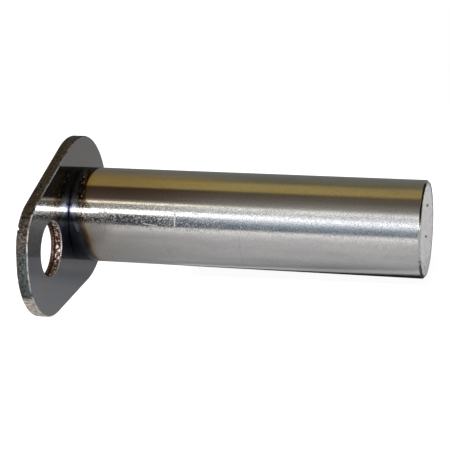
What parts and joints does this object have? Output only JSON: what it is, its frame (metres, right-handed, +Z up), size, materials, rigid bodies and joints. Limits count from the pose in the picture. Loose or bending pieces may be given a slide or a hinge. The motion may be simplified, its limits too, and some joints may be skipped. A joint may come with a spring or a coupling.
{
  "type": "backhoe pin",
  "caption": "Round steel pivot pin with a chamfered free end and a flat lobed retaining plate, bored for one bolt, welded on its other end.",
  "frame": {"origin": "on the pin's axis, in the plane of the plate's inner face", "axes": "+X along the pin to its free end, +Z up as the part lies on the plate's straight lower edge, bolt hole towards -Y"},
  "size_m": [0.1481, 0.0903, 0.0607],
  "materials": {
    "ground_steel": "ground bare steel, lightly pitted, with straw to blue heat tint beside the plate",
    "cut_plate": "dark bare plate, smooth on its faces, rough and scaled on its flame-cut edges",
    "weld_metal": "rippled weld metal with a grey-brown oxide skin"
  },
  "bodies": {
    "root": {"pin_shaft": "ground_steel", "flag_plate": "cut_plate", "weld_bead": "weld_metal"}
  },
  "joints": []
}
